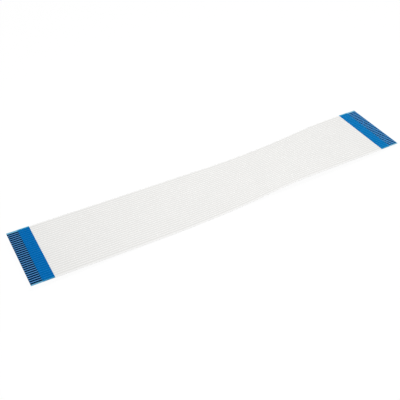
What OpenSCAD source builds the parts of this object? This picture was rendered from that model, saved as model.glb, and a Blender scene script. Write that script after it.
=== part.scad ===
// Flat flex cable: a row of flat conductors laminated between two films, bare underneath at both
// tips, with a stiffener tape on the back of each tip.
// Units are millimetres. X runs along the cable, Y across it and Z up.
// The origin is the middle of the outline, on the surface that the cable lies on.

/* [Cable] */
// Length over both tips
cable_length = 150; // [100:1:300]
// Number of conductors
conductor_count = 26; // [4:1:50]
// Spacing of the conductors, centre to centre
pitch = 1; // [0.9:0.05:2.5]
// Distance from the centre of an outer conductor to the edge of the cable
edge_margin = 1; // [0.6:0.05:3]

/* [Conductors] */
// Width of a conductor
conductor_width = 0.7; // [0.3:0.05:0.75]
// Thickness of a conductor
conductor_thickness = 0.1; // [0.05:0.01:0.2]

/* [Films] */
// Thickness of one film with its adhesive
film_thickness = 0.1; // [0.05:0.01:0.2]
// How far the rib in a film reaches past its conductor on each side
rib_overlap = 0.05; // [0.01:0.01:0.07]
// Length of each conductor that the films leave bare at a tip
bare_length = 4; // [2:0.5:6]

/* [Stiffeners] */
// Length of a stiffener tape
stiffener_length = 8; // [7:0.5:15]
// Thickness of a stiffener tape with its adhesive
stiffener_thickness = 0.2; // [0.1:0.01:0.3]

/* [Lie of the cable] */
// Angle of the bend lines from square across the cable
bend_skew = 48; // [0:1:55]
// Fall of the left stretch, in degrees
left_fall = 3.2; // [0:0.1:6]
// Where the valley starts, measured from the middle and square to the bend lines
valley_start = -8; // [-20:1:-4]
// Length of the valley along its arc
valley_length = 26; // [15:1:28]
// Turn of the valley, in degrees
valley_turn = 10.3; // [4:0.1:14]
// Straight length between the valley and the crest
crest_gap = 4; // [1:0.5:6]
// Length of the crest along its arc
crest_length = 12; // [6:1:14]
// Turn of the crest, in degrees
crest_turn = 9.1; // [4:0.1:12]

/* [Hidden] */
cable_width = (conductor_count - 1) * pitch + 2 * edge_margin;
rib_width = conductor_width + 2 * rib_overlap;
// Heights above the middle plane of the conductors
conductor_face = conductor_thickness / 2;
film_face = film_thickness;
rib_face = conductor_face + film_thickness;
tape_face = conductor_face + stiffener_thickness;
tape_lap_face = rib_face + stiffener_thickness;

// The arcs are drawn with flat facets. The one under the middle of the cable is level, so the
// cable balances on it.
valley_facets = 8;
crest_facets = 6;
// Spare length that blocks and cutters reach past the outline
spare = 2;
// Half the cable's length, square to the bend lines and over its corners
reach = (cable_length * cos(bend_skew) + cable_width * sin(bend_skew)) / 2 + spare;

film_colour = "#eeeeec";
tape_colour = "#1268b0";
metal_colour = "#c9ccd0";

function conductor_name(i) = str("conductor_", i < 10 ? "0" : "", i);

// Lie of the middle plane. A station is [distance along, height, slope in degrees], where the
// distance is measured from the middle and square to the bend lines.
function station_on(start, length, turn, share) =
    let (
        slope = start[2] + share * turn,
        radius = length / (turn * PI / 180)
    )
    [
        start[0] + radius * (sin(slope) - sin(start[2])),
        start[1] + radius * (cos(start[2]) - cos(slope)),
        slope
    ];
function ahead(station, length) =
    [station[0] + length * cos(station[2]), station[1] + length * sin(station[2]), station[2]];
function arc(start, length, turn, facets) =
    [for (i = [0:facets]) station_on(start, length, turn, i / facets)];

valley = arc([valley_start, 0, -left_fall], valley_length, valley_turn, valley_facets);
crest = arc(ahead(valley[valley_facets], crest_gap), crest_length, -crest_turn, crest_facets);
left_end = ahead(valley[0], (-reach - valley[0][0]) / cos(valley[0][2]));
right_end = ahead(crest[crest_facets], (reach - crest[crest_facets][0]) / cos(crest[crest_facets][2]));
stations = concat([left_end], valley, crest, [right_end]);

// The stations moved square to the middle plane by a height, as points
function line_at(height) = [for (s = stations) [s[0] - height * sin(s[2]), s[1] + height * cos(s[2])]];
floor_level = min([for (point = line_at(-rib_face)) point[1]]);

function reversed(list) = [for (i = [len(list) - 1:-1:0]) list[i]];

// The layer between two heights above the middle plane, endless across the bend lines
module layer(low, high) {
    span = 2 * (cable_length * sin(bend_skew) + cable_width * cos(bend_skew)) + spare;
    rotate([0, 0, -bend_skew])
        rotate([90, 0, 0])
            translate([0, -floor_level, -span / 2])
                linear_extrude(span)
                    polygon(concat(line_at(low), reversed(line_at(high))));
}

// Upright block over a part of the outline: from x0 to x1, with a width centred on y
module over(x0, x1, width, y = 0) {
    height = 2 * reach;
    translate([x0, y - width / 2, -height / 2])
        cube([x1 - x0, width, height]);
}

// A layer cut to a part of the outline
module cut_layer(low, high, x0, x1, width, y = 0) {
    intersection() {
        layer(low, high);
        over(x0, x1, width, y);
    }
}

// Distance of a conductor's centre from the middle of the cable. The first is at the near edge.
function conductor_y(i) = (i - (conductor_count + 1) / 2) * pitch;

// Strips over all conductors, as one layer
module strips(low, high, width) {
    intersection() {
        layer(low, high);
        union() {
            for (i = [1:conductor_count])
                over(-cable_length / 2 - spare, cable_length / 2 + spare, width, conductor_y(i));
        }
    }
}

// One film, from the middle plane outwards, with its channels and its ribs. side is 1 for the
// upper film and -1 for the lower one.
module film(side) {
    film_end = cable_length / 2 - bare_length;
    color(film_colour)
        difference() {
            intersection() {
                union() {
                    layer(min(0, side * film_face), max(0, side * film_face));
                    strips(min(side * conductor_face, side * rib_face),
                           max(side * conductor_face, side * rib_face), rib_width);
                }
                over(-film_end, film_end, cable_width);
            }
            strips(-conductor_face, conductor_face, conductor_width);
        }
}

// One conductor, from tip to tip
module conductor(i) {
    color(metal_colour)
        cut_layer(-conductor_face, conductor_face, -cable_length / 2, cable_length / 2,
                  conductor_width, conductor_y(i));
}

// One stiffener tape. It lies on the bare conductors, and laps over the upper film and its ribs.
// end is -1 for the left tip and 1 for the right one.
module stiffener(end) {
    tip = end * cable_length / 2;
    film_end = tip - end * bare_length;
    tape_end = tip - end * stiffener_length;
    color(tape_colour)
        difference() {
            union() {
                cut_layer(conductor_face, tape_face, min(tip, film_end), max(tip, film_end), cable_width);
                cut_layer(film_face, tape_lap_face, min(film_end, tape_end), max(film_end, tape_end),
                          cable_width);
            }
            intersection() {
                strips(conductor_face, rib_face, rib_width);
                over(min(film_end, tape_end - end * spare), max(film_end, tape_end - end * spare),
                     cable_width);
            }
        }
}

module upper_film() {
    film(1);
}

module lower_film() {
    film(-1);
}

module left_stiffener() {
    stiffener(-1);
}

module right_stiffener() {
    stiffener(1);
}

upper_film();
lower_film();
left_stiffener();
right_stiffener();
for (i = [1:conductor_count])
    conductor(i);
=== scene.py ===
import math

import bmesh
import bpy
import numpy as np
from mathutils import Matrix, Vector

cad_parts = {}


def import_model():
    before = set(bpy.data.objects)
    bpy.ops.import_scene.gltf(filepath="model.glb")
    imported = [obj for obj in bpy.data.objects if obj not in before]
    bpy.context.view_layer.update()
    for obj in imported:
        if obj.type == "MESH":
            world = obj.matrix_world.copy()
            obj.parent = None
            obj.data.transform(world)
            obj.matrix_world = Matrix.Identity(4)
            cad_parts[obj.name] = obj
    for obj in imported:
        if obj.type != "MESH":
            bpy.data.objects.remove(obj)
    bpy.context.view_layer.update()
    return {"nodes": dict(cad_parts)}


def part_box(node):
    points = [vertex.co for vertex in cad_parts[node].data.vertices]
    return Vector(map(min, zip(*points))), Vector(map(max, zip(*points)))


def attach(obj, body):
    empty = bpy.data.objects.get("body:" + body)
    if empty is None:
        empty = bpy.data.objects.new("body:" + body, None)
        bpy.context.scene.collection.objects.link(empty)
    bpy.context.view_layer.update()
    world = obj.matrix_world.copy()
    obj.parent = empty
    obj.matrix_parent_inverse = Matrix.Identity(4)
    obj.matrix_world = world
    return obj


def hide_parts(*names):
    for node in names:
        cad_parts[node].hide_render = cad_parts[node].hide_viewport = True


# Flat flex cable. Metres throughout. X runs along the cable, Y across it and Z up.
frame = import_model()

MM = 0.001

# ---- Sizes of the laminate -------------------------------------------------------------------

CONDUCTOR_NODES = sorted(name for name in frame["nodes"] if name.startswith("conductor_"))
TIP_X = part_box("conductor_01")[1][0]
FILM_END_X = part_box("upper_film")[1][0]
TAPE_END_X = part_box("right_stiffener")[0][0]
HALF_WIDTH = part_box("upper_film")[1][1]
CONDUCTOR_Y = np.array([(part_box(n)[0][1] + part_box(n)[1][1]) / 2 for n in CONDUCTOR_NODES])
CONDUCTOR_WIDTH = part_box("conductor_01")[1][1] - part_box("conductor_01")[0][1]
PITCH = CONDUCTOR_Y[1] - CONDUCTOR_Y[0]

CONDUCTOR_THICKNESS = 0.1 * MM
FILM_THICKNESS = 0.1 * MM
TAPE_THICKNESS = 0.2 * MM
RIB_OVERLAP = 0.05 * MM

# Heights above the middle plane of the conductors
CONDUCTOR_FACE = CONDUCTOR_THICKNESS / 2
FILM_FACE = FILM_THICKNESS
RIB_FACE = CONDUCTOR_FACE + FILM_THICKNESS
TAPE_FACE = CONDUCTOR_FACE + TAPE_THICKNESS
TAPE_LAP_FACE = RIB_FACE + TAPE_THICKNESS

# ---- Lie of the cable ------------------------------------------------------------------------

BEND_SKEW = math.radians(48)
LEFT_FALL = math.radians(3.2)
VALLEY_START = -8 * MM
VALLEY_LENGTH = 26 * MM
VALLEY_TURN = math.radians(10.3)
CREST_GAP = 4 * MM
CREST_LENGTH = 12 * MM
CREST_TURN = math.radians(9.1)


def lie(x, y):
    """Height and slope of the middle plane over the points x, y.

    The plane is bent about parallel lines at BEND_SKEW, so both depend only on the distance p
    square to those lines. It falls straight to the valley, follows an arc of radius R through it,
    climbs straight over the gap, follows a second arc over the crest and then falls straight.
    On the valley's arc, which starts at slope a, sin(slope) grows by distance / R and the height
    by R (cos a - cos slope). On the crest's arc both signs are turned. The ribs under the
    valley's lowest line touch the floor.
    """
    p = x * math.cos(BEND_SKEW) - y * math.sin(BEND_SKEW)
    valley_radius = VALLEY_LENGTH / VALLEY_TURN
    crest_radius = CREST_LENGTH / CREST_TURN
    fall = -LEFT_FALL
    climb = fall + VALLEY_TURN
    last = climb - CREST_TURN
    valley_end = VALLEY_START + valley_radius * (math.sin(climb) - math.sin(fall))
    crest_start = valley_end + CREST_GAP * math.cos(climb)
    crest_end = crest_start + crest_radius * (math.sin(climb) - math.sin(last))
    valley_top = valley_radius * (math.cos(fall) - math.cos(climb))
    crest_low = valley_top + CREST_GAP * math.sin(climb)
    crest_top = crest_low + crest_radius * (math.cos(last) - math.cos(climb))

    in_valley = np.clip(p, VALLEY_START, valley_end) - VALLEY_START
    valley_slope = np.arcsin(math.sin(fall) + in_valley / valley_radius)
    on_crest = np.clip(p, crest_start, crest_end) - crest_start
    crest_slope = np.arcsin(math.sin(climb) - on_crest / crest_radius)
    slope = np.where(p < crest_start, valley_slope, crest_slope)
    height = np.select(
        [p < VALLEY_START, p < valley_end, p < crest_start, p < crest_end],
        [
            (p - VALLEY_START) * math.tan(fall),
            valley_radius * (math.cos(fall) - np.cos(valley_slope)),
            valley_top + (p - valley_end) * math.tan(climb),
            crest_low + crest_radius * (np.cos(crest_slope) - math.cos(climb)),
        ],
        crest_top + (p - crest_end) * math.tan(last),
    )
    lowest = valley_radius * (math.cos(fall) - 1) - RIB_FACE
    return height - lowest, slope


def laid(x, y, above):
    """The points x, y raised to a height above the middle plane, measured square to the plane."""
    height, slope = lie(x, y)
    return np.stack(np.broadcast_arrays(x, y, height + above / np.cos(slope)), axis=-1)


def smooth_step(low, high, value):
    """0 below low, 1 above high, and 3t^2 - 2t^3 between them."""
    t = np.clip((value - low) / (high - low), 0, 1)
    return t * t * (3 - 2 * t)


# ---- Meshes ----------------------------------------------------------------------------------

SHARP_ANGLE = math.radians(40)


def mesh_object(name, points, faces):
    """A mesh of quads, smooth except where two faces meet at more than SHARP_ANGLE."""
    mesh = bpy.data.meshes.new(name)
    mesh.from_pydata(points.reshape(-1, 3).tolist(), [], faces.tolist())
    mesh.update()
    mesh.shade_smooth()
    mesh.set_sharp_from_angle(angle=SHARP_ANGLE)
    piece = bpy.data.objects.new(name, mesh)
    bpy.context.scene.collection.objects.link(piece)
    return piece


def slab(name, top, bottom):
    """A closed slab: two grids of points, top and bottom, joined by a wall round their rims. X grows
    from row to row, and Y from column to column."""
    rows, columns = top.shape[:2]
    upper = np.arange(rows * columns).reshape(rows, columns)
    lower = upper + rows * columns

    def skin(a):
        return np.stack([a[:-1, :-1], a[1:, :-1], a[1:, 1:], a[:-1, 1:]], -1).reshape(-1, 4)

    def wall(a, b):
        return np.stack([a[:-1], a[1:], b[1:], b[:-1]], -1)

    faces = np.concatenate([
        skin(upper),
        skin(lower)[:, ::-1],
        wall(lower[:, 0], upper[:, 0]),
        wall(upper[:, -1], lower[:, -1]),
        wall(upper[0], lower[0]),
        wall(lower[-1], upper[-1]),
    ])
    return mesh_object(name, np.concatenate([top.reshape(-1, 3), bottom.reshape(-1, 3)]), faces)


# Widths of the eased flanks of a rib and of a channel
RIB_SOFTNESS = 0.12 * MM
CHANNEL_SOFTNESS = 0.04 * MM
# The long edges are pressed thinner over this width, by these depths
EDGE_WIDTH = 0.35 * MM
FILM_EDGE_DROP = 0.08 * MM
TAPE_EDGE_DROP = 0.05 * MM
# Grid columns: on a rib's flank, as shares of the flank's reach from the rib's edge outwards, and
# on the pressed edge
FLANK_SHARES = np.array([0.5, 0.36, 0.22, 0.1, -0.02, -0.15, -0.3, -0.42])
FLANK_REACH = 1.4 * RIB_SOFTNESS
EDGE_COLUMNS = 8
# Columns closer than this to the pressed edge are left out
COLUMN_CLEARANCE = 0.02 * MM
# Grid rows along a film, and along a tape's lap, ramp and tip
FILM_ROWS = 96
LAP_ROWS = 16
RAMP_ROWS = 12
TAPE_TIP_ROWS = 14


def from_conductor(y):
    """Distance of y from the centre of the nearest conductor."""
    return np.abs(y[..., None] - CONDUCTOR_Y).min(axis=-1)


def over_conductor(y, overlap=RIB_OVERLAP, softness=RIB_SOFTNESS):
    """1 over a conductor and as far as overlap beside it, and 0 over the gap. The smooth step
    between them is softness wide."""
    edge = CONDUCTOR_WIDTH / 2 + overlap
    return 1 - smooth_step(edge - softness / 2, edge + softness / 2, from_conductor(y))


def cross_columns():
    """Y of the grid columns: close together on each rib's flanks, and at the cable's edges, where
    they close up as a sine does towards a quarter turn."""
    half_rib = CONDUCTOR_WIDTH / 2 + RIB_OVERLAP + FLANK_SHARES * FLANK_REACH
    offsets = np.concatenate([-half_rib, [0.0], half_rib[::-1]])
    inner = (CONDUCTOR_Y[:, None] + offsets).ravel()
    inner = inner[np.abs(inner) < HALF_WIDTH - EDGE_WIDTH - COLUMN_CLEARANCE]
    rounded = HALF_WIDTH - EDGE_WIDTH * (1 - np.sin(np.linspace(0, math.pi / 2, EDGE_COLUMNS)))
    return np.unique(np.round(np.concatenate([-rounded, inner, rounded]), 8))


def edge_drop(y, depth):
    """How far a face falls at the pressed long edges: a quarter of an ellipse, EDGE_WIDTH wide
    and depth high."""
    inside = np.clip((np.abs(y) - (HALF_WIDTH - EDGE_WIDTH)) / EDGE_WIDTH, 0, 1)
    return depth * (1 - np.sqrt(1 - inside**2))


COLUMNS = cross_columns()


def film(name, side):
    """One film. Its outer face stands at FILM_FACE over the gaps, rises to RIB_FACE over each
    conductor and falls by the edge drop at the long edges. Its inner face stands at 0 over the
    gaps and at CONDUCTOR_FACE over each conductor. side is 1 for the upper film, and -1 for the
    lower one, where both heights change sign."""
    rows = np.linspace(-FILM_END_X, FILM_END_X, FILM_ROWS)
    x, y = np.meshgrid(rows, COLUMNS, indexing="ij")
    outer = FILM_FACE + (RIB_FACE - FILM_FACE) * over_conductor(y) - edge_drop(y, FILM_EDGE_DROP)
    inner = CONDUCTOR_FACE * over_conductor(y, 0.0, CHANNEL_SOFTNESS)
    faces = [laid(x, y, outer), laid(x, y, inner)]
    if side < 0:
        faces = [laid(x, y, -inner), laid(x, y, -outer)]
    return slab(name, *faces)


# Length over which the tape climbs onto the film
TAPE_RAMP = 0.55 * MM
# How deep the tape's back sinks between the ribs over the film, as a share of a rib's height, and
# the part of that which is left at the tip
TAPE_EMBOSS = 0.35
EMBOSS_AT_TIP = 0.4
# Thickness of the adhesive under the tape, which keeps its underside off what it lies on
ADHESIVE_LINE = 0.004 * MM


def tape(name, end):
    """One stiffener tape. lap is 0 at the tip and 1 over the film, with a smooth step of TAPE_RAMP
    between them. The underside goes with lap from the bare conductors' face to the ribbed film's,
    an adhesive line above both. The back goes with lap from TAPE_FACE to TAPE_LAP_FACE, sinks a
    little between the ribs and falls by the edge drop at the long edges. end is -1 for the left
    tip and 1 for the right one."""
    ramp_end = FILM_END_X + TAPE_RAMP
    along = np.concatenate([
        np.linspace(TAPE_END_X, FILM_END_X, LAP_ROWS),
        np.linspace(FILM_END_X, ramp_end, RAMP_ROWS)[1:],
        np.linspace(ramp_end, TIP_X, TAPE_TIP_ROWS)[1:],
    ])
    rows = np.sort(end * along)
    x, y = np.meshgrid(rows, COLUMNS, indexing="ij")
    lap = 1 - smooth_step(FILM_END_X, ramp_end, end * x)
    rib = over_conductor(y)
    under_film = FILM_FACE + (RIB_FACE - FILM_FACE) * rib
    under = CONDUCTOR_FACE + (under_film - CONDUCTOR_FACE) * lap + ADHESIVE_LINE
    back = TAPE_FACE + (TAPE_LAP_FACE - TAPE_FACE) * lap
    emboss_share = EMBOSS_AT_TIP + (1 - EMBOSS_AT_TIP) * lap
    back = back - TAPE_EMBOSS * (RIB_FACE - FILM_FACE) * (1 - rib) * emboss_share
    back = back - edge_drop(y, TAPE_EDGE_DROP)
    piece = slab(name, laid(x, y, back), laid(x, y, under))
    # 1 on the back and 0 on the underside, which the tape's material tells apart by it
    outer_face = piece.data.attributes.new("outer_face", "FLOAT", "POINT")
    outer_face.data.foreach_set("value", np.repeat([1.0, 0.0], x.size))
    return piece


CONDUCTOR_ROUND = 0.025 * MM
CONDUCTOR_CORNER_POINTS = 4
CONDUCTOR_ROWS = 90


def conductor_section():
    """Outline of a conductor, as points of width and height: a rectangle whose corners are quarter
    circles of CONDUCTOR_ROUND."""
    quarter = np.linspace(0, math.pi / 2, CONDUCTOR_CORNER_POINTS)
    corner = np.stack([np.cos(quarter), np.sin(quarter)], -1) * CONDUCTOR_ROUND
    half = np.array([CONDUCTOR_WIDTH / 2, CONDUCTOR_FACE]) - CONDUCTOR_ROUND
    return np.concatenate([
        corner + half,
        (corner * [-1, 1])[::-1] + half * [-1, 1],
        -corner - half,
        (corner * [1, -1])[::-1] + half * [1, -1],
    ])


def close_ends(mesh, first, last):
    """Closes the cut ends of a strip with one face each, over the points first and last."""
    shape = bmesh.new()
    shape.from_mesh(mesh)
    shape.verts.ensure_lookup_table()
    shape.faces.new([shape.verts[i] for i in first[::-1]])
    shape.faces.new([shape.verts[i] for i in last])
    bmesh.ops.recalc_face_normals(shape, faces=shape.faces)
    shape.to_mesh(mesh)
    shape.free()
    mesh.set_sharp_from_angle(angle=SHARP_ANGLE)


def conductor(name, centre):
    """One flat conductor: the section carried along the cable, each of its points at its own
    height above the middle plane."""
    section = conductor_section()
    rows = np.linspace(-TIP_X, TIP_X, CONDUCTOR_ROWS)
    x, around = np.meshgrid(rows, np.arange(len(section)), indexing="ij")
    points = laid(x, centre + section[around, 0], section[around, 1])
    index = np.arange(x.size).reshape(x.shape)
    following = np.roll(index, -1, axis=1)
    faces = np.stack([index[:-1], index[1:], following[1:], following[:-1]], -1).reshape(-1, 4)
    piece = mesh_object(name, points, faces[:, ::-1])
    close_ends(piece.data, index[0], index[-1])
    return piece


# ---- Materials -------------------------------------------------------------------------------

# Output number of a colour mix. Its inputs 0, 6 and 7 are the share and the two colours.
MIX_RESULT = 2
PLASTIC_IOR = 1.5
# The range that holds most values of a noise
NOISE_SPREAD = (0.3, 0.7)
# How far the blend into the margin reaches from the last conductor's edge, in millimetres
MARGIN_BLEND = (-0.05, 0.1)


def opaque(colour):
    """A colour with full alpha. A socket stays as it is."""
    return (*colour, 1) if isinstance(colour, tuple) else colour


def input_socket(node, key):
    """The input called key, with _ for a space, or the one whose number follows an i."""
    if key[0] == "i" and key[1:].isdigit():
        return node.inputs[int(key[1:])]
    return node.inputs[key.replace("_", " ")]


class Nodes:
    """A material's node tree, with short ways to add and join nodes."""

    def __init__(self, name):
        self.material = bpy.data.materials.new(name)
        self.material.use_nodes = True
        self.tree = self.material.node_tree
        self.tree.nodes.clear()
        self.output = self.tree.nodes.new("ShaderNodeOutputMaterial")

    def add(self, kind, settings=None, **inputs):
        """Adds a node. Inputs are given as values or as sockets, and named as in input_socket."""
        node = self.tree.nodes.new("ShaderNode" + kind)
        for key, value in (settings or {}).items():
            setattr(node, key, value)
        for key, value in inputs.items():
            socket = input_socket(node, key)
            if isinstance(value, bpy.types.NodeSocket):
                self.tree.links.new(value, socket)
            else:
                socket.default_value = value
        return node

    def math(self, operation, *values):
        """An operation on one or more numbers."""
        inputs = {f"i{k}": value for k, value in enumerate(values)}
        return self.add("Math", {"operation": operation}, **inputs).outputs[0]

    def place_mm(self, scale=(1, 1, 1)):
        """The place on the cable in millimetres, times scale."""
        where = self.add("TexCoord").outputs["Object"]
        return self.add("Mapping", Vector=where, Scale=tuple(s / MM for s in scale)).outputs[0]

    def noise(self, scale, detail, stretch=(1, 1, 1)):
        """Noise of 0 to 1, with about scale swells to the millimetre."""
        where = self.place_mm(stretch)
        node = self.add("TexNoise", Vector=where, Scale=scale, Detail=detail, Roughness=0.5)
        return node.outputs["Fac"]

    def ranged(self, value, low, high, to_low, to_high, kind="LINEAR"):
        """The value brought from the range low to high to the range to_low to to_high, and held
        within it."""
        start = {"Value": value, "From_Min": low, "From_Max": high}
        goal = {"To_Min": to_low, "To_Max": to_high}
        return self.add("MapRange", {"interpolation_type": kind}, **start, **goal).outputs[0]

    def mix(self, share, a, b):
        """Colour a where share is 0, and colour b where it is 1."""
        node = self.add("Mix", {"data_type": "RGBA"}, i0=share, i6=opaque(a), i7=opaque(b))
        return node.outputs[MIX_RESULT]

    def from_gap(self):
        """Distance from the middle of the nearest gap between conductors, in pitches: 0 to 0.5."""
        y = self.add("SeparateXYZ", Vector=self.place_mm()).outputs["Y"]
        return self.math("PINGPONG", self.math("DIVIDE", y, PITCH / MM), 0.5)

    def in_margin(self):
        """1 in the margins outside the last conductors and 0 between them."""
        y = self.add("SeparateXYZ", Vector=self.place_mm()).outputs["Y"]
        last = (CONDUCTOR_Y[-1] + CONDUCTOR_WIDTH / 2) / MM
        start, stop = (last + reach for reach in MARGIN_BLEND)
        return self.ranged(self.math("ABSOLUTE", y), start, stop, 0, 1, "SMOOTHSTEP")

    def bump(self, height, strength, distance_mm, normal=None):
        """A surface direction that follows the height, on top of another one if it is given."""
        under = {} if normal is None else {"Normal": normal}
        depth = distance_mm * MM
        return self.add("Bump", Height=height, Strength=strength, Distance=depth, **under).outputs[0]

    def done(self, shader):
        """Joins the shader to the output and gives the material."""
        self.tree.links.new(shader, self.output.inputs["Surface"])
        return self.material


# Colours of the film: darker over the strips, which is painted shade, and lighter over the gaps and
# in the margins, which is painted light that comes through the thin film. Over the strips it wanders
# between two.
FILM_SHADED_OVER_STRIP = ((0.792, 0.787, 0.770), (0.812, 0.807, 0.790))
FILM_LIT_OVER_GAP = (0.948, 0.943, 0.930)
FILM_LIT_MARGIN = (0.90, 0.896, 0.885)
# Where the film changes from gap to strip, in pitches from the middle of the gap
FILM_GAP_BLEND = (0.1, 0.2)
FILM_ROUGHNESS = (0.42, 0.52)
FILM_SPECULAR = 0.25


def film_material():
    """White film, satin. The strips inside show through it as faint darker lines of painted shade,
    and the gaps and the margins outside the last strips are lighter with painted light that comes
    through the film."""
    n = Nodes("white_film")
    gap = n.ranged(n.from_gap(), *FILM_GAP_BLEND, 1, 0, "SMOOTHSTEP")
    mottle = n.ranged(n.noise(scale=0.12, detail=3), *NOISE_SPREAD, 0, 1)
    # Painted shade over the strips and painted light over the gaps and in the margins
    colour = n.mix(gap, n.mix(mottle, *FILM_SHADED_OVER_STRIP), FILM_LIT_OVER_GAP)
    colour = n.mix(n.in_margin(), colour, FILM_LIT_MARGIN)
    grain = n.noise(scale=14, detail=4)
    streak = n.noise(scale=3, detail=3, stretch=(0.04, 1, 1))
    normal = n.bump(grain, strength=0.15, distance_mm=0.004)
    normal = n.bump(streak, strength=0.2, distance_mm=0.006, normal=normal)
    rough = n.ranged(n.noise(scale=1.5, detail=4), *NOISE_SPREAD, *FILM_ROUGHNESS)
    body = n.add("BsdfPrincipled", Base_Color=colour, Roughness=rough, Normal=normal, IOR=PLASTIC_IOR)
    body.inputs["Specular IOR Level"].default_value = FILM_SPECULAR
    return n.done(body.outputs[0])


# Tints of the light that passes the tape: over a strip or the film's rib, and over a gap or a margin,
# where the tape laps the film and where it is free at the tip. Where it laps the film, the paler gap
# and margin tints are painted light that comes through the film. At the free tip, the gap tint is
# darker than the margin tint as painted shade of the floor under the cable.
STUCK_TINT = (0.02, 0.418, 0.752)
LAP_GAP_TINT = (0.13, 0.475, 0.775)
LAP_MARGIN_TINT = (0.17, 0.56, 0.77)
FREE_GAP_TINT = (0.147, 0.322, 0.685)
FREE_MARGIN_TINT = (0.165, 0.445, 0.625)
# Strength of the dye at each tip
LEFT_DYE = 1.0
RIGHT_DYE = 0.85
# The tape's own blue, which wanders between two, and the share of it that is seen
TAPE_HAZE = ((0.002, 0.13, 0.46), (0.002, 0.15, 0.5))
TAPE_HAZE_SHARE = (0.06, 0.08)
TAPE_ROUGHNESS = 0.3
TAPE_SPECULAR = 0.12
TAPE_SPECULAR_TINT = (0.05, 0.45, 1.0, 1.0)
# Half the blend at the film's end, and where the tape changes from gap to strip, measured from the
# strip's edge. Both in millimetres.
FILM_END_BLEND = 0.1
TAPE_GAP_BLEND = (-0.065, -0.005)


def tape_material(name, dye):
    """Blue see-through tape, deep blue over the strips and paler over the gaps and in the margins.
    Where the tape laps the film, its paler gaps and margins are painted light that comes through the
    film, and at the free tip its darker gaps are painted shade of the floor under the cable.
    The underside tints the light that passes it, and the back adds a little haze and sheen. Each
    tint is raised to the power dye, as light is when it passes a weaker or stronger layer."""
    n = Nodes(name)

    def dyed(tint):
        return tuple(c**dye for c in tint)

    where = n.add("SeparateXYZ", Vector=n.place_mm()).outputs
    film_end = FILM_END_X / MM
    from_middle = n.math("ABSOLUTE", where["X"])
    past_film = n.ranged(from_middle, film_end - FILM_END_BLEND, film_end + FILM_END_BLEND, 0, 1)
    half_gap = (PITCH - CONDUCTOR_WIDTH) / 2 / MM
    gap = n.ranged(n.from_gap(), half_gap + TAPE_GAP_BLEND[0], half_gap + TAPE_GAP_BLEND[1], 1, 0)
    # The gap and margin tints carry painted light through the film and painted shade of the floor
    gap_tint = n.mix(past_film, dyed(LAP_GAP_TINT), dyed(FREE_GAP_TINT))
    margin_tint = n.mix(past_film, dyed(LAP_MARGIN_TINT), dyed(FREE_MARGIN_TINT))
    tint = n.mix(n.in_margin(), n.mix(gap, dyed(STUCK_TINT), gap_tint), margin_tint)
    haze = n.noise(scale=0.25, detail=4)
    fine = n.noise(scale=9, detail=3)
    normal = n.bump(fine, strength=0.15, distance_mm=0.006)
    colour = n.mix(haze, *TAPE_HAZE)
    body = n.add("BsdfPrincipled", Base_Color=colour, Normal=normal, IOR=PLASTIC_IOR)
    body.inputs["Roughness"].default_value = TAPE_ROUGHNESS
    body.inputs["Specular IOR Level"].default_value = TAPE_SPECULAR
    body.inputs["Specular Tint"].default_value = TAPE_SPECULAR_TINT
    outer = n.add("Attribute", {"attribute_name": "outer_face"}).outputs["Fac"]
    clear = n.add("BsdfTransparent", Color=n.mix(outer, tint, (1, 1, 1)))
    own_blue = n.ranged(haze, *NOISE_SPREAD, *TAPE_HAZE_SHARE)
    share = n.math("MULTIPLY", own_blue, outer)
    mixed = n.add("MixShader", i0=share, i1=clear.outputs[0], i2=body.outputs[0])
    return n.done(mixed.outputs[0])


# Colours of a strip's face and back. The back's near black is painted shade. Both wander between two
# along the drawing lines.
STRIP_BRIGHT = ((0.70, 0.71, 0.72), (0.80, 0.80, 0.80))
STRIP_SHADED_BACK = ((0.03, 0.03, 0.035), (0.05, 0.05, 0.055))
# Upward part of the surface direction over which bright turns to the painted shade of the back
STRIP_BACK_BLEND = (0.2, 0.6)
STRIP_ROUGHNESS = (0.28, 0.4)


def conductor_material():
    """Tinned copper strip: bright below, and nearly black on its back under the tape, which is
    painted shade.
    """
    n = Nodes("tinned_copper")
    up = n.add("SeparateXYZ", Vector=n.add("TexCoord").outputs["Normal"]).outputs["Z"]
    back = n.ranged(up, *STRIP_BACK_BLEND, 0, 1)
    drawn = n.noise(scale=6, detail=4, stretch=(0.03, 1, 1))
    # Upward faces get the near black of painted shade
    colour = n.mix(back, n.mix(drawn, *STRIP_BRIGHT), n.mix(drawn, *STRIP_SHADED_BACK))
    normal = n.bump(drawn, strength=0.3, distance_mm=0.01)
    rough = n.ranged(n.noise(scale=4, detail=3), *NOISE_SPREAD, *STRIP_ROUGHNESS)
    body = n.add("BsdfPrincipled", Base_Color=colour, Metallic=1.0, Roughness=rough, Normal=normal)
    return n.done(body.outputs[0])


# ---- Studio ----------------------------------------------------------------------------------

FLOOR_REACH = 3.0
# The floor's grey as the light meets it. The eye sees a glow instead, with a share of the shadows.
FLOOR_PALE = 0.8
FLOOR_GLOW = 0.96
SHADOW_SHARE = 0.05


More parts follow.
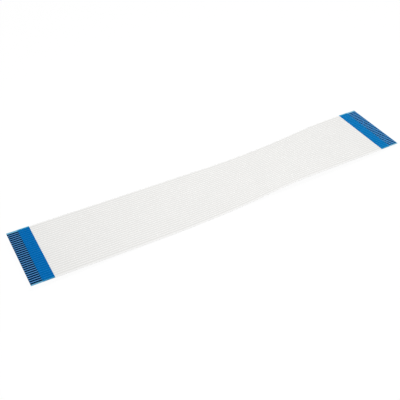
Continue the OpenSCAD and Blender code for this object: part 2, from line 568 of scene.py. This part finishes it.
def floor():
    """A square plane, FLOOR_REACH from the middle to each side. To the eye it is white with a faint
    shadow, and to the light that falls on the cable a pale floor."""
    corners = np.array([[-1, -1, 0], [1, -1, 0], [1, 1, 0], [-1, 1, 0]], float)
    ground = mesh_object("floor", corners * FLOOR_REACH, np.array([[0, 1, 2, 3]]))
    n = Nodes("floor")
    path = n.add("LightPath")
    seen = n.math("MAXIMUM", path.outputs["Is Camera Ray"], path.outputs["Is Glossy Ray"])
    seen = n.math("MAXIMUM", seen, path.outputs["Is Transmission Ray"])
    pale = n.add("BsdfDiffuse", Color=(FLOOR_PALE, FLOOR_PALE, FLOOR_PALE, 1))
    faint = n.add("BsdfDiffuse", Color=(SHADOW_SHARE, SHADOW_SHARE, SHADOW_SHARE, 1))
    glow = n.add("Emission", Color=(1, 1, 1, 1), Strength=FLOOR_GLOW)
    white = n.add("AddShader", i0=faint.outputs[0], i1=glow.outputs[0])
    mixed = n.add("MixShader", i0=seen, i1=pale.outputs[0], i2=white.outputs[0])
    ground.data.materials.append(n.done(mixed.outputs[0]))


WORLD_LIGHT = 0.505
BACKDROP_LIGHT = 1.0


def white_background(tree, strength):
    """A background node of white light with the given strength."""
    node = tree.nodes.new("ShaderNodeBackground")
    node.inputs["Color"].default_value = (1, 1, 1, 1)
    node.inputs["Strength"].default_value = strength
    return node


def world():
    """Even soft light from all round, and pure white where it is seen."""
    sky = bpy.data.worlds.new("studio")
    bpy.context.scene.world = sky
    sky.use_nodes = True
    tree = sky.node_tree
    tree.nodes.clear()
    out = tree.nodes.new("ShaderNodeOutputWorld")
    path = tree.nodes.new("ShaderNodeLightPath")
    mix = tree.nodes.new("ShaderNodeMixShader")
    tree.links.new(path.outputs["Is Camera Ray"], mix.inputs[0])
    tree.links.new(white_background(tree, WORLD_LIGHT).outputs[0], mix.inputs[1])
    tree.links.new(white_background(tree, BACKDROP_LIGHT).outputs[0], mix.inputs[2])
    tree.links.new(mix.outputs[0], out.inputs["Surface"])


def away(azimuth, elevation):
    """The direction from the object to a viewer. Azimuth 0 looks along +Y, both in degrees."""
    turn, rise = math.radians(azimuth), math.radians(elevation)
    return Vector((math.sin(turn) * math.cos(rise), -math.cos(turn) * math.cos(rise), math.sin(rise)))


def lamp(name, azimuth, elevation, distance, size, power, sheen_only=False):
    """A square soft lamp that points at the middle of the cable. One that is sheen_only adds to
    reflections but not to the general light."""
    light = bpy.data.lights.new(name, "AREA")
    light.size = size
    light.energy = power
    piece = bpy.data.objects.new(name, light)
    bpy.context.scene.collection.objects.link(piece)
    piece.visible_diffuse = not sheen_only
    out = away(azimuth, elevation)
    turn = out.to_track_quat("Z", "Y").to_matrix().to_4x4()
    piece.matrix_world = Matrix.Translation(out * distance) @ turn
    return piece


# The camera's angles in degrees, and its lens and sensor in millimetres
CAMERA_AZIMUTH = -27.07
CAMERA_ELEVATION = 39.88
CAMERA_ROLL = -2.79
CAMERA_DISTANCE = 243.4 * MM
CAMERA_TARGET = Vector((-7.73, -1.78, 0)) * MM
CAMERA_LENS = 60.03
CAMERA_SENSOR = 36
CAMERA_NEAR = 10 * MM


def camera():
    """A camera at the viewing angle, turned about its own axis by the roll."""
    data = bpy.data.cameras.new("camera")
    data.lens = CAMERA_LENS
    data.sensor_width = CAMERA_SENSOR
    data.clip_start = CAMERA_NEAR
    piece = bpy.data.objects.new("camera", data)
    bpy.context.scene.collection.objects.link(piece)
    back = away(CAMERA_AZIMUTH, CAMERA_ELEVATION)
    right = (-back).cross(Vector((0, 0, 1))).normalized()
    up = right.cross(-back)
    roll = math.radians(CAMERA_ROLL)
    turned_right = right * math.cos(roll) + up * math.sin(roll)
    turned_up = up * math.cos(roll) - right * math.sin(roll)
    turn = Matrix((turned_right, turned_up, back)).transposed().to_4x4()
    piece.matrix_world = Matrix.Translation(CAMERA_TARGET + back * CAMERA_DISTANCE) @ turn
    bpy.context.scene.camera = piece


# ---- The cable -------------------------------------------------------------------------------


def dress(piece, node, material):
    """Gives a finished piece its material and slot, and puts it in the place of a CAD node."""
    piece.data.materials.append(material)
    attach(piece, "root")
    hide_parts(node)


camera()
world()
floor()
lamp("key", azimuth=80, elevation=84, distance=0.28, size=0.15, power=0.45)
card = lamp("card", azimuth=136, elevation=33, distance=0.6, size=0.35, power=3.2, sheen_only=True)
# The card lights only the strips, which are put in its collection below
card.light_linking.receiver_collection = bpy.data.collections.new("lit_by_card")

white_film = film_material()
tinned_copper = conductor_material()

dress(film("upper_film_laminate", 1), "upper_film", white_film)
dress(film("lower_film_laminate", -1), "lower_film", white_film)
for side, end, dye in (("left", -1, LEFT_DYE), ("right", 1, RIGHT_DYE)):
    blue_tape = tape_material(side + "_blue_tape", dye)
    dress(tape(side + "_stiffener_tape", end), side + "_stiffener", blue_tape)
for node_name, centre_y in zip(CONDUCTOR_NODES, CONDUCTOR_Y):
    strip = conductor(node_name.replace("conductor", "strip"), centre_y)
    dress(strip, node_name, tinned_copper)
    card.light_linking.receiver_collection.objects.link(strip)

scene = bpy.context.scene
scene.view_settings.view_transform = "Standard"
